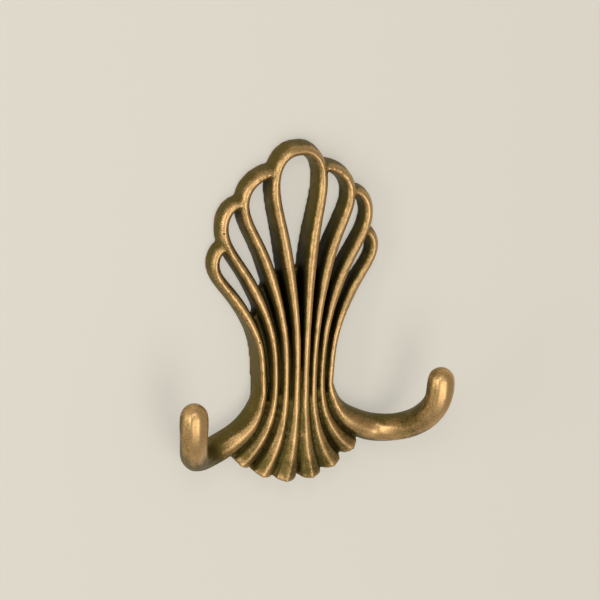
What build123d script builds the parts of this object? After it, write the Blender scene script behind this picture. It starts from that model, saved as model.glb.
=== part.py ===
from build123d import *
from math import cos, radians, sin
import os

os.makedirs("parts", exist_ok=True)

# The hook is one casting.
# Its flat back lies on the plane Y=0, the front looks towards -Y, and the
# origin is half way between the two tapped holes.

# Fan of loops: the shoulders of the ribs sit on one oval, evenly turned.
fan_half_width = 25.45
fan_rise = 26.3
fan_centre_z = 40
first_angle = 17
angle_step = 24
top_loop_radius = 7.6
# Angle and reach, as a share of the fan, where each side loop leaves its
# neighbour, and of its top.
loop_starts = ((18, 1.07), (43, 0.95), (76, 0.88))
loop_tops = ((30, 1.085), (54, 1.05), (82, 0.98))

# Waist, where the ribs run closest.
waist_z = 5
rib_pitch = 3.05
outer_gap = 0.55
leg_shape = ((0.25, 0.066), (0.5, 0.29), (0.75, 0.685))
# End of the outer rib: how far out from its waist, and how far below it.
rib_fade = ((0.1, 9.5), (3, 16.5))

# Front of the ribs, measured from the wall.
waist_height = 10.7
height_step = 0.98
loop_height = 6.2
loop_height_step = 0.55
lobe_lift = 0.6

# Section of a rib: half width at the wall, half width and roundness in front.
loop_base = 2.15
loop_base_step = 0.15
loop_crest = 1.85
loop_round = 4
crest_flats = 4
waist_base = 1.55
waist_crest = 1.0
waist_round = 1.1

# Scalloped skirt: the lobes end on one circle round the origin.
skirt_radius = 28.4
first_lobe_angle = 8.8
lobe_angle_step = 15.9
lobe_half = 4.3
lobe_half_step = 0.3
lobe_round = 4.6
lobe_bow = 7
lobe_flare = 1.6

# Web behind the ribs: its half width and how far below its top, then how far
# out from the outer rib's waist, and how far below it.
web_top = 36.5
web_shape = ((5.4, 1.1), (10.1, 4.5), (12.8, 12.5), (14.3, 17))
web_waist = ((0.2, 0), (1.2, 11))
web_edge = 2.2
web_side = 0.4
groove_depth = 2.6
web_drop = 2.6
web_steps = 7

# Arms and prongs.
arm_radius = 4.25
arm_flats = 10
arm_depth = 4.4
arm_low_z = -17.2
prong_radius = 4.15
prong_x = 39.6
prong_reach = 22.8
prong_z = 2.6
# Root of the arm: share of the way out to the prong, and of the way down from
# the waist to the lowest point.
arm_root = ((0, -0.05), (0.015, 0.36), (0.125, 0.667), (0.306, 0.865))
# Outer part: shares of the way out, of the way forward and of the way up again.
arm_rise = ((0.537, 0.016, 0), (0.744, 0.255, 0.045), (0.898, 0.641, 0.278),
            (0.979, 0.924, 0.616), (1, 1, 1))

# Tapped holes in the back.
screw_spacing = 32
tap_radius = 1.65
tap_depth = 5.5


def ease(value):
    value = min(max(value, 0), 1)
    return value * value * (3 - 2 * value)


def blend(low, high, value):
    return low + (high - low) * ease(value)


def fan_point(angle, reach):
    return (reach * fan_half_width * sin(radians(angle)),
            fan_centre_z + reach * fan_rise * cos(radians(angle)))


def shoulder(index):
    return fan_point(first_angle + angle_step * index, 1)


def waist_x(index):
    return rib_pitch * (index + 0.45) + (outer_gap if index == 3 else 0)


def section(place, tangent, height, base, crest, roundness):
    # flat foot, two leaning sides and a crest in short flats
    plane = Plane(origin=place, x_dir=Vector(-tangent.Z, 0, tangent.X),
                  z_dir=tangent)
    turns = [radians(180 * step / crest_flats) for step in range(crest_flats + 1)]
    points = [(crest * cos(turn), height - roundness + roundness * sin(turn))
              for turn in turns]
    points = [(base, -1)] + points + [(-base, -1)]
    return plane * make_face(Polyline(*points, close=True))


def oval(place, tangent, wide, tall, lean=0):
    # lean makes it narrower in front and wider at the wall
    plane = Plane(origin=place, x_dir=Vector(-tangent.Z, 0, tangent.X),
                  z_dir=tangent)
    turns = [radians(360 * (step + 0.5) / arm_flats) for step in range(arm_flats)]
    points = [(wide * cos(turn) * (1 - lean * sin(turn)), tall * sin(turn))
              for turn in turns]
    return plane * make_face(Polyline(*points, close=True))


def stations(path, count):
    for step in range(count):
        run = path.length * step / (count - 1)
        yield (path.position_at(run, position_mode=PositionMode.LENGTH),
               path.tangent_at(run, position_mode=PositionMode.LENGTH),
               step / (count - 1))


def rib(points, sizes, count):
    # a section carried along a curve that is drawn on the wall
    path = Spline(*[(x, 0, z) for x, z in points])
    return loft([section(place, tangent, *sizes(place.X, place.Z))
                 for place, tangent, part_way in stations(path, count)])


def lobe_end(index):
    turn = radians(first_lobe_angle + lobe_angle_step * index)
    return skirt_radius * sin(turn), -skirt_radius * cos(turn)


def rib_sizes(index):
    top_z = shoulder(index)[1]
    end_z = lobe_end(index)[1]
    low = loop_height - loop_height_step * index
    high = waist_height - height_step * index

    def sizes(x, z):
        rise = ease((z - waist_z - 8) / (top_z - waist_z - 8))
        down = min(max(waist_z - z, 0) / (waist_z - end_z), 1)
        fall = ease(down)
        flare = down ** lobe_flare
        lobe = lobe_half - lobe_half_step * index
        spread = min(rise * 2, 1)
        height = high + (low - high) * rise + lobe_lift * fall
        wide = loop_base - loop_base_step * index
        base = waist_base + (wide - waist_base) * spread
        crest = waist_crest + (loop_crest - waist_crest) * spread
        roundness = waist_round + (loop_round - waist_round) * rise
        base += (lobe - waist_base) * flare
        crest += (lobe - waist_crest) * flare
        roundness += (lobe_round - waist_round) * fall
        return height, base, crest, roundness

    return sizes


def loop_start(index):
    if index == 0:
        low_x, low_z = shoulder(0)
        return [(low_x * sin(radians(turn)),
                 low_z + top_loop_radius * cos(radians(turn)))
                for turn in (-60, -30, 0, 30, 60)]
    return [fan_point(*loop_starts[index - 1]), fan_point(*loop_tops[index - 1])]


def leg_points(index):
    # shoulder, the leg below it and the waist
    top_x, top_z = shoulder(index)
    low_x = waist_x(index)
    leg = [(low_x + out * (top_x - low_x), waist_z + up * (top_z - waist_z))
           for up, out in reversed(leg_shape)]
    return [(top_x, top_z)] + leg + [(low_x, waist_z)]


def lobe_points(index):
    end_x, end_z = lobe_end(index)
    low_x = waist_x(index)
    return [(low_x + (end_x - low_x) * down ** 3, waist_z + (end_z - waist_z) * down)
            for down in (0.4, 0.7, 1)]


def bowed(piece, index):
    # rounds the end of a lobe to an arc
    turn = first_lobe_angle + lobe_angle_step * index
    inside = Plane.XZ * Pos(0, -skirt_radius + lobe_bow) * Circle(lobe_bow)
    beyond = Plane.XZ * Pos(0, -skirt_radius - lobe_bow / 2) * Rectangle(lobe_bow * 3,
                                                                         lobe_bow * 3)
    waste = Rot(0, -turn, 0) * extrude(beyond - inside, waist_height * 2, both=True)
    return piece - waste


ribs = []
for index in range(3):
    piece = rib(loop_start(index) + leg_points(index) + lobe_points(index),
                rib_sizes(index), 17 if index == 0 else 15)
    ribs.append(bowed(piece, index))

# The outer rib runs on into the arm and fades there.
root_x = waist_x(3)
ribs.append(rib(loop_start(3) + leg_points(3)
                + [(root_x + out, waist_z - down) for out, down in rib_fade],
                lambda x, z: rib_sizes(3)(x, max(z, waist_z)), 13))

# Arm and prong: round sections carried along a curve that leaves the wall.
arm_reach = prong_x - root_x
arm_points = [(root_x + out * arm_reach, -arm_depth, waist_z + down * (arm_low_z - waist_z))
              for out, down in arm_root]
arm_points += [(root_x + out * arm_reach,
                -arm_depth + forward * (arm_depth - prong_reach),
                arm_low_z + up * (prong_z - arm_low_z)) for out, forward, up in arm_rise]
arm_path = Spline(*arm_points)
arm_faces = []
for place, tangent, part_way in stations(arm_path, 12):
    if part_way == 1:
        tangent = Vector(0, 0, 1)
    wide = blend(1.3, arm_radius, part_way * 2.2)
    tall = blend(2.9, arm_radius + 0.3, part_way * 3.4)
    taper = (arm_radius - prong_radius) * ease(part_way * 2 - 1)
    tall -= 0.3 * ease(part_way * 2 - 0.6)
    lean = blend(0.45, 0, part_way * 2.6)
    arm_faces.append(oval(place, tangent, wide - taper, tall - taper, lean))
for turn in (25, 45, 62, 78):
    # the domed end of the prong
    place = Vector(prong_x, -prong_reach, prong_z + prong_radius * sin(radians(turn)))
    size = prong_radius * cos(radians(turn))
    arm_faces.append(oval(place, Vector(0, 0, 1), size, size))
arm = loft(arm_faces)

# Web: a drawn outline, as thick as the floor of the grooves.
web_corner = (skirt_radius * 0.6, -skirt_radius * 0.63)
web_foot = (0, -skirt_radius * 0.89)
web_upper = [(0, web_top)] + [(out, web_top - down) for out, down in web_shape]
web_lower = [(root_x + out, waist_z - down) for out, down in web_waist]
web_outline = Spline(*web_upper)
web_outline += Spline(web_upper[-1], *web_lower, web_corner)
web_outline += Line(web_corner, web_foot)
web_outline += Line(web_foot, (0, web_top))
web_face = make_face(Plane.XZ * web_outline)
web = extrude(web_face, waist_height * 2, both=True)
# The floor bulges forward in the middle, rises from its top edge to the waist
# and falls back under the skirt.
floor_faces = []
half_floor = web_corner[0] + 0.2
floor_top = web_top + 8
floor_low = -skirt_radius - 2
for step in range(web_steps + 1):
    height = floor_top + (floor_low - floor_top) * step / web_steps
    share = ease((web_top - height) / (web_top - waist_z - 3))
    middle = web_edge + (waist_height - groove_depth - web_edge) * share
    middle -= web_drop * ease((waist_z - 4 - height) / (skirt_radius - 4))
    edge = middle + (web_side - middle) * share
    floor_line = Line((half_floor, 1), (-half_floor, 1))
    floor_line += Line((-half_floor, 1), (-half_floor, -edge))
    floor_line += Bezier((-half_floor, -edge), (0, edge - 2 * middle),
                         (half_floor, -edge))
    floor_line += Line((half_floor, -edge), (half_floor, 1))
    floor_faces.append(Plane.XY.offset(height) * make_face(floor_line))
web = web & loft(floor_faces)

# One half: everything in front of the wall and right of the middle.
half = web
for piece in ribs + [arm]:
    half = half + piece
room = 4 * fan_centre_z
keep = Pos(room / 2, -room / 2, 0) * Box(room, room, 2 * room)
half = half & keep
casting = half + mirror(half, about=Plane.YZ)

for end in (-1, 1):
    drill = Plane.XZ * Circle(tap_radius)
    casting = casting - Pos(0, 1, end * screw_spacing / 2) * extrude(drill, tap_depth + 1)
export_step(casting, "parts/hook_casting.step")
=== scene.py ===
from math import atan, cos, pi, radians, sin, sqrt

import bmesh
import bpy
import numpy as np
from mathutils import Matrix, Vector
from mathutils.bvhtree import BVHTree


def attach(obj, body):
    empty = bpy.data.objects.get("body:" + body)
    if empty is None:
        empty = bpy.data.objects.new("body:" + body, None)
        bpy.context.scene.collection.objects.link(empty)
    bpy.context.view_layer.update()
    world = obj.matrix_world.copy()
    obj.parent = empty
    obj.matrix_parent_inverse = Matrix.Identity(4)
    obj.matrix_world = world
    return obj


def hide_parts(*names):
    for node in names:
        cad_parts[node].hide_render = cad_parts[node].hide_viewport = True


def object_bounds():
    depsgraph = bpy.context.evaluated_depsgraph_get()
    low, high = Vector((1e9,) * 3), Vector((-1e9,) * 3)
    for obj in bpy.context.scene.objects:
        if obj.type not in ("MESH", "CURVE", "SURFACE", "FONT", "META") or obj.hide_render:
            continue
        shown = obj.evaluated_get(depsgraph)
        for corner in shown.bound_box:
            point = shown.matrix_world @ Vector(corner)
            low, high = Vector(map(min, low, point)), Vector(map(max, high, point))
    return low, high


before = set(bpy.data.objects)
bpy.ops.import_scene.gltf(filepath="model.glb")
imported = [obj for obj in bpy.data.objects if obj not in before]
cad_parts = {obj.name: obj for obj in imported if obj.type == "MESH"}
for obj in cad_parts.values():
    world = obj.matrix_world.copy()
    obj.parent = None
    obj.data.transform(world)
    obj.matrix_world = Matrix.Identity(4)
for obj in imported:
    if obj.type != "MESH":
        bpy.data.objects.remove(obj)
cadLow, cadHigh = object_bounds()
scene = bpy.context.scene
print("frame loaded")


# the casting: a copy of the CAD node, made even and softened as a cast and handled part is
casting = {
    "node": "hook_casting",
    "mergeDistance": 1e-6,
    "evenSize": 0.00043,        # side of the even mesh's faces
    "soften": 0.6,
    "fillBack": -0.62,          # gives back what softening takes off
    "softenRounds": 10,         # for the whole casting
    "roundRounds": 26,          # on top of that where the casting is rounder, as below
    "loops": (0.026, 0.046),    # height where the round loops begin, and where they are full
    "loopSwell": 0.00012,
    "skirt": (-0.008, -0.022),  # the same for the skirt
    "arms": (0.013, 0.018),     # the same for the arms, out from the middle
    "armTop": 0.012,
}


def ease(value, start, end):
    share = min(max((value - start) / (end - start), 0), 1)
    return share * share * (3 - 2 * share)


def mergedCopy(settings):
    work = bmesh.new()
    work.from_mesh(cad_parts[settings["node"]].data)
    bmesh.ops.remove_doubles(work, verts=work.verts, dist=settings["mergeDistance"])
    data = bpy.data.meshes.new("castHook")
    work.to_mesh(data)
    work.free()
    piece = bpy.data.objects.new("castHook", data)
    scene.collection.objects.link(piece)
    return piece


def evenOut(piece, size):
    remesh = piece.modifiers.new("even", "REMESH")
    remesh.mode = "VOXEL"
    remesh.voxel_size = size
    remesh.use_smooth_shade = True
    graph = bpy.context.evaluated_depsgraph_get()
    even = bpy.data.meshes.new_from_object(piece.evaluated_get(graph))
    piece.modifiers.clear()
    piece.data = even


def soften(piece, settings):
    work = bmesh.new()
    work.from_mesh(piece.data)

    def relax(rounds):
        for turn in range(rounds):
            for factor in (settings["soften"], settings["fillBack"]):
                bmesh.ops.smooth_vert(work, verts=work.verts, factor=factor,
                                      use_axis_x=True, use_axis_y=True, use_axis_z=True)

    relax(settings["softenRounds"])
    crisp = [vert.co.copy() for vert in work.verts]
    relax(settings["roundRounds"])
    work.normal_update()
    for vert, place in zip(work.verts, crisp):
        loop = ease(place.z, *settings["loops"])
        skirt = ease(place.z, *settings["skirt"])
        arm = ease(abs(place.x), *settings["arms"]) if place.z < settings["armTop"] else 0
        rounder = vert.co + vert.normal * settings["loopSwell"] * loop
        vert.co = place.lerp(rounder, max(loop, arm, skirt))
        for axis in range(3):   # nothing passes the CAD box
            vert.co[axis] = min(max(vert.co[axis], cadLow[axis]), cadHigh[axis])
    work.to_mesh(piece.data)
    work.free()


hook = mergedCopy(casting)
evenOut(hook, casting["evenSize"])
soften(hook, casting)
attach(hook, "root")
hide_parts(casting["node"])
print("casting made,", len(hook.data.polygons), "faces")


# measures of the surface, kept in its points, for the finish to follow
measures = {
    "crestRounds": 14,      # how far the crest measure looks round a point
    "crestHeight": 0.00030, # height of a full crest over its surroundings
    "lookFar": 0.013,       # how far away a wall still shades a point
    "lookRays": 22,
    "lookLift": 0.7,        # start of a ray above the surface, in sides of a face
    "level": 1e-6,          # a ray flatter than this runs along the board
    "backFacing": 0.9,      # a face turned to the board this much is the flat back
    "blurs": {"crest": 2, "opened": 3, "front": 2},
}


def readVectors(items, name):
    values = np.empty(len(items) * 3)
    items.foreach_get(name, values)
    return values.reshape(-1, 3)


def neighbourMean(values, edges, rounds):
    first, second = edges.T
    count = len(values)
    links = np.bincount(first, minlength=count) + np.bincount(second, minlength=count)
    links = np.maximum(links, 1)
    for turn in range(rounds):
        columns = [(np.bincount(first, column[second], count)
                    + np.bincount(second, column[first], count)) / links
                   for column in values.T]
        values = np.stack(columns, axis=1)
    return values


def crestMeasure(places, normals, edges, settings):
    surroundings = neighbourMean(places, edges, settings["crestRounds"])
    return ((places - surroundings) * normals).sum(1) / settings["crestHeight"]


def openMeasure(mesh, places, normals, settings):
    # share of the sky over each point that no wall near by shuts off
    rays = settings["lookRays"]
    lifts = np.sqrt((np.arange(rays) + 0.5) / rays)
    reaches = np.sqrt(1 - lifts ** 2)
    turns = pi * (3 - sqrt(5)) * np.arange(rays)    # each ray a golden angle on
    fan = np.stack([reaches * np.cos(turns), reaches * np.sin(turns), lifts], axis=1)

    # any way that isn't along the normal helps to lay out a fan round it
    helper = np.where(np.abs(normals[:, :1]) > 0.7, [[0, 1, 0]], [[1, 0, 0]])
    side = np.cross(normals, helper)
    side /= np.linalg.norm(side, axis=1)[:, None]
    up = np.cross(normals, side)
    tree = BVHTree.FromPolygons([tuple(place) for place in places],
                                [tuple(face.vertices) for face in mesh.polygons])
    far, level = settings["lookFar"], settings["level"]
    starts = places + normals * casting["evenSize"] * settings["lookLift"]
    clear = np.zeros(len(places))
    for ray in fan:
        ways = side * ray[0] + up * ray[1] + normals * ray[2]
        # the board that the hook is fixed to shades it as well
        toBoard = np.where(ways[:, 1] > level, -starts[:, 1] / np.maximum(ways[:, 1], level), 1)
        rows = np.flatnonzero((toBoard > far) | (normals[:, 1] > settings["backFacing"]))
        looks = zip(rows.tolist(), starts[rows].tolist(), ways[rows].tolist())
        for index, start, way in looks:
            if tree.ray_cast(start, way, far)[0] is None:
                clear[index] += 1
    return clear / rays


def addMeasures(mesh, settings):
    places = readVectors(mesh.vertices, "co")
    normals = readVectors(mesh.vertex_normals, "vector")
    edges = np.empty(len(mesh.edges) * 2, dtype=np.int32)
    mesh.edges.foreach_get("vertices", edges)
    edges = edges.reshape(-1, 2)
    found = {
        "crest": crestMeasure(places, normals, edges, settings),
        "opened": openMeasure(mesh, places, normals, settings),
        "front": -normals[:, 1],
    }
    for name, values in found.items():
        values = neighbourMean(values[:, None], edges, settings["blurs"][name])[:, 0]
        layer = mesh.attributes.new(name, "FLOAT", "POINT")
        layer.data.foreach_set("value", values.astype(np.float32))
    print("measures taken at", len(places), "points")


addMeasures(hook.data, measures)


# shader maths written as expressions
class Socket:
    def __init__(self, finish, link):
        self.finish = finish
        self.link = link

    def maths(self, operation, *values):
        return self.finish.node("ShaderNodeMath", {"operation": operation},
                                dict(enumerate(values)))

    def __add__(self, other):
        return self.maths("ADD", self, other)

    def __sub__(self, other):
        return self.maths("SUBTRACT", self, other)

    def __rsub__(self, other):
        return self.maths("SUBTRACT", other, self)

    def __mul__(self, other):
        return self.maths("MULTIPLY", self, other)

    def __pow__(self, other):
        return self.maths("POWER", self, other)

    __radd__ = __add__
    __rmul__ = __mul__


class Finish:
    def __init__(self, owner):      # a material or a world
        self.owner = owner
        self.owner.use_nodes = True
        self.tree = self.owner.node_tree
        self.tree.nodes.clear()

    def node(self, kind, settings=None, inputs=None, output=0):
        made = self.tree.nodes.new(kind)
        for name, value in (settings or {}).items():
            setattr(made, name, value)
        for name, value in (inputs or {}).items():
            if isinstance(value, Socket):
                self.tree.links.new(value.link, made.inputs[name])
            else:
                made.inputs[name].default_value = value
        return Socket(self, made.outputs[output]) if made.outputs else made

    def attribute(self, name):
        return self.node("ShaderNodeAttribute", {"attribute_name": name}, output="Fac")

    def place(self):
        return self.node("ShaderNodeTexCoord", output="Object")

    def along(self, axis):
        return self.node("ShaderNodeSeparateXYZ", {}, {"Vector": self.place()}, axis)

    def noise(self, scale, detail, rough):
        return self.node("ShaderNodeTexNoise", {},
                         {"Vector": self.place(), "Scale": scale, "Detail": detail,
                          "Roughness": rough})

    def spread(self, value, low, high):
        return self.node("ShaderNodeMapRange", {"interpolation_type": "SMOOTHSTEP"},
                         {"Value": value, "From Min": low, "From Max": high})

    def spot(self, centre, reach):
        # 1 at the centre, 0 from the reach on
        away = self.node("ShaderNodeVectorMath", {"operation": "DISTANCE"},
                         {0: self.place(), 1: centre}, "Value")
        return self.spread(away, reach, 0.0)

    def lightPath(self, ray):
        return self.node("ShaderNodeLightPath", output="Is " + ray + " Ray")

    def mix(self, factor, first, second):
        return self.node("ShaderNodeMix", {"data_type": "RGBA"},
                         {0: factor, 6: first, 7: second}, 2)

    def mixShader(self, factor, first, second):
        return self.node("ShaderNodeMixShader", {}, {0: factor, 1: first, 2: second})

    def done(self, surface, kind="Material"):
        self.node("ShaderNodeOutput" + kind, {}, {"Surface": surface})
        return self.owner


# antique bronze: dark in the recesses as patina and painted shade, olive on the flanks, copper on
# the crests where worn, with painted highlight where light falls
bronze = {
    "recess": (0.009, 0.007, 0.002, 1),
    "olive": (0.132, 0.100, 0.020, 1),
    "brown": (0.28, 0.180, 0.062, 1),
    "copper": (0.70, 0.440, 0.190, 1),

    # scale, detail and roughness of each noise
    "patches": (260.0, 4.0, 0.60),
    "specks": (2300.0, 3.0, 0.65),
    "grime": (2900.0, 3.0, 0.70),
    "grain": (1500.0, 3.0, 0.60),

    # where each measure begins to count, and where it is full
    "clearSpan": (0.02, 0.56),      # share of open sky, from the black recess (patina and painted shade) to free of both
    "hollowSpan": (-0.25, -1.10),   # depth of a crease painted dark, as patina and painted shade
    "mottleSpan": (-0.05, 0.30),
    "grimeSpan": (0.50, 0.68),
    "handledSpan": (0.017, 0.025),  # distance from the wall, where hands rub the prongs
    "topSpan": (0.036, 0.066),      # height, where the loops get more copper
    "footSpan": (-0.012, -0.026),   # height, where the skirt gets less copper, darker towards the bottom
    "wearAndHighlightSpan": (0.50, 1.05),

    # what wears the bronze to copper and paints highlight on it, and what keeps it darker or paints
    # shade on it: front and open faces are partly wear, partly painted light; the elbow spot is a
    # painted highlight, the left arm spot painted shade
    "wearAndHighlightShares": {"front": 0.46, "opened": 0.32, "crest": 0.34, "handled": 0.22,
                  "elbowHighlight": 0.45, "leftArmShade": -0.35, "top": 0.10, "foot": -0.18,
                  "patches": 0.55, "specks": 1.0},
    "frontPower": 1.4,
    "elbowHighlight": ((0.027, -0.012, -0.017), 0.010),  # a copper spot painted where the right arm bends, a painted highlight
    "leftArmShade": ((-0.030, -0.014, -0.014), 0.013),  # a darker spot painted on the left arm, painted shade

    "patchPatinaShadeShift": 0.25,      # how much patches and specks shift the edge of the dark recess, patina and painted shade
    "speckPatinaShadeShift": 0.15,
    "creasePatinaShadeShare": 0.8,
    "mottleSpecks": 0.7,
    "mottleShare": 0.45,
    "brownShare": 2.5,
    "copperPower": 1.6,
    "grimeShare": 0.5,
    "pitShare": 1.5,
    "pits": ((-0.0178, -0.0057, 0.0253), (-0.0164, -0.0062, 0.0232),
             (-0.0127, -0.0075, 0.0163), (-0.0235, -0.0048, 0.0503)),
    "pitSize": 0.00042,

    "rough": (0.52, 0.40),          # at the dark end of the wear and highlight mask, and at its copper end
    "speckRough": 0.15,
    "metal": (0.85, 1.0),           # at the dark end of the wear and highlight mask, and at its copper end
    "bumpStrength": 0.45,
    "bumpDistance": 0.00009,
    "pitDepth": 2.0,
}


def antiqueBronze(look):
    finish = Finish(bpy.data.materials.new("antiqueBronze"))
    opened = finish.attribute("opened")
    crest = finish.attribute("crest")
    patches = finish.noise(*look["patches"]) - 0.5
    specks = finish.noise(*look["specks"]) - 0.5
    found = {
        "front": finish.attribute("front") ** look["frontPower"],
        "opened": opened,
        "crest": crest,
        "handled": finish.spread(finish.along("Y") * -1.0, *look["handledSpan"]),
        "elbowHighlight": finish.spot(*look["elbowHighlight"]),
        "leftArmShade": finish.spot(*look["leftArmShade"]),
        "top": finish.spread(finish.along("Z"), *look["topSpan"]),
        "foot": finish.spread(finish.along("Z"), *look["footSpan"]),
        "patches": patches,
        "specks": specks,
    }
    wearAndHighlight = sum(found[name] * share for name, share in look["wearAndHighlightShares"].items())
    wearAndHighlight = finish.spread(wearAndHighlight, *look["wearAndHighlightSpan"])
    clear = finish.spread(opened + patches * look["patchPatinaShadeShift"] + specks * look["speckPatinaShadeShift"],
                          *look["clearSpan"])
    hollow = finish.spread(crest, *look["hollowSpan"])
    mottle = finish.spread(patches + specks * look["mottleSpecks"], *look["mottleSpan"])
    grime = finish.spread(finish.noise(*look["grime"]), *look["grimeSpan"])
    pits = sum(finish.spot(place, look["pitSize"]) for place in look["pits"])

    colour = finish.mix(mottle * look["mottleShare"], look["olive"], look["brown"])
    # recesses and creases painted near black: patina in the hollows, and painted shade where near
    # walls and the board shut off the sky
    colour = finish.mix(clear * (1 - hollow * look["creasePatinaShadeShare"]), look["recess"], colour)
    # brown and copper where the bronze is worn, and painted highlight on front and open faces and
    # on the elbow spot
    colour = finish.mix(wearAndHighlight * look["brownShare"] * clear, colour, look["brown"])
    colour = finish.mix(wearAndHighlight ** look["copperPower"] * clear, colour, look["copper"])
    colour = finish.mix(grime * look["grimeShare"] * clear, colour, look["olive"])
    colour = finish.mix(pits * look["pitShare"], colour, look["recess"])

    dullRough, rubbedRough = look["rough"]
    dullMetal, rubbedMetal = look["metal"]
    bumps = finish.node("ShaderNodeBump", {},
                        {"Strength": look["bumpStrength"], "Distance": look["bumpDistance"],
                         "Height": finish.noise(*look["grain"]) - pits * look["pitDepth"]})
    shader = finish.node("ShaderNodeBsdfPrincipled", {}, {
        "Base Color": colour,
        "Metallic": dullMetal + wearAndHighlight * (rubbedMetal - dullMetal),
        "Roughness": dullRough + wearAndHighlight * (rubbedRough - dullRough)
        + specks * look["speckRough"],
        "Normal": bumps,
    })
    return finish.done(shader)


hook.data.materials.append(antiqueBronze(bronze))
print("finish made")


# the stage: a pale board behind the hook, and a plain light world round it
stage = {
    "boardSize": 4.0,
    "boardGap": 0.0004,
    "boardAside": 0.5,      # keeps the board's diagonal away from the hook
    "boardColour": (0.723, 0.686, 0.604, 1),
    "boardEven": 0.50,      # share of the board's tone that the lamps don't change
    "boardGlow": 1.10,
    "skyColour": (1.0, 0.985, 0.95, 1),
    "skyStrength": 0.38,
    "lampAim": (0, -0.01, 0.02),
}


def palePaper(look):
    finish = Finish(bpy.data.materials.new("palePaper"))
    paper = finish.node("ShaderNodeBsdfDiffuse", {}, {"Color": look["boardColour"]})
    glow = finish.node("ShaderNodeEmission", {}, {"Color": look["boardColour"],
                                                  "Strength": look["boardGlow"]})
    seen = (finish.lightPath("Camera") + finish.lightPath("Glossy")
            + finish.lightPath("Transmission"))
    front = finish.mixShader(seen * look["boardEven"], paper, glow)
    # from behind, the board lets the back of the hook show
    behind = finish.node("ShaderNodeNewGeometry", output="Backfacing")
    return finish.done(finish.mixShader(behind, front,
                                        finish.node("ShaderNodeBsdfTransparent")))


def makeBoard(settings):
    work = bmesh.new()
    bmesh.ops.create_grid(work, x_segments=1, y_segments=1, size=settings["boardSize"] / 2)
    bmesh.ops.rotate(work, verts=work.verts, cent=(0, 0, 0),
                     matrix=Matrix.Rotation(radians(90), 3, "X"))
    bmesh.ops.translate(work, verts=work.verts,
                        vec=(settings["boardAside"], settings["boardGap"], 0))
    data = bpy.data.meshes.new("paleBoard")
    work.to_mesh(data)
    work.free()
    data.materials.append(palePaper(settings))
    board = bpy.data.objects.new("paleBoard", data)
    scene.collection.objects.link(board)


def makeSky(settings):
    world = bpy.data.worlds.new("studio")
    sky = Finish(world)
    sky.done(sky.node("ShaderNodeBackground", {}, {"Color": settings["skyColour"],
                                                   "Strength": settings["skyStrength"]}),
             "World")
    scene.world = world


makeBoard(stage)
makeSky(stage)
print("stage made")


lamps = {
    "frontLamp": {"place": (-0.03, -0.92, -0.24), "width": 0.56, "height": 1.00,
                  "watts": 3.3, "colour": (1.0, 0.975, 0.93)},
    "sideLamp": {"place": (-0.80, -0.39, 0.10), "width": 0.26, "height": 0.80,
                 "watts": 2.6, "colour": (1.0, 0.98, 0.94)},
    "highLamp": {"place": (-0.316, -0.678, 0.585), "width": 0.28, "height": 0.28,
                 "watts": 1.2, "colour": (1.0, 0.98, 0.94)},
}


def makeLamp(name, settings, aim):
    data = bpy.data.lights.new(name, "AREA")
    data.shape = "ELLIPSE"
    data.size = settings["width"]
    data.size_y = settings["height"]
    data.energy = settings["watts"]
    data.color = settings["colour"]
    lamp = bpy.data.objects.new(name, data)
    lamp.location = settings["place"]
    lamp.rotation_mode = "QUATERNION"
    way = Vector(aim) - Vector(settings["place"])
    lamp.rotation_quaternion = way.to_track_quat("-Z", "Y")
    scene.collection.objects.link(lamp)


for name, settings in lamps.items():
    makeLamp(name, settings, stage["lampAim"])
print("lamps made")


# the photo's camera, fitted to both halves of the hook
view = {
    "turn": 25.1,       # degrees to the left of straight on
    "rise": 20.1,       # degrees above level
    "roll": 1.58,
    "distance": 0.8054,
    "right": 0.00370,   # how far the picture's middle lies from the origin
    "up": 0.02386,
    "opening": 2 * atan(300 / 2700),    # half the picture's width over the lens's length, in pixels
    "nearest": 0.01,
    "farthest": 20,
}


def makeCamera(settings):
    turn, rise, roll = (radians(settings[name]) for name in ("turn", "rise", "roll"))
    across = Vector((cos(turn), -sin(turn), 0))
    above = Vector((sin(turn) * sin(rise), cos(turn) * sin(rise), cos(rise)))
    back = Vector((-sin(turn) * cos(rise), -cos(turn) * cos(rise), sin(rise)))
    right = across * cos(roll) + above * sin(roll)
    up = above * cos(roll) - across * sin(roll)
    data = bpy.data.cameras.new("camera")
    data.lens_unit = "FOV"
    data.angle = settings["opening"]
    data.clip_start = settings["nearest"]
    data.clip_end = settings["farthest"]
    camera = bpy.data.objects.new("camera", data)
    place = back * settings["distance"] + right * settings["right"] + up * settings["up"]
    axes = Matrix((right, up, back)).transposed().to_4x4()
    camera.matrix_world = Matrix.Translation(place) @ axes
    scene.collection.objects.link(camera)
    scene.camera = camera


makeCamera(view)
scene.view_settings.view_transform = "Standard"
print("camera made")
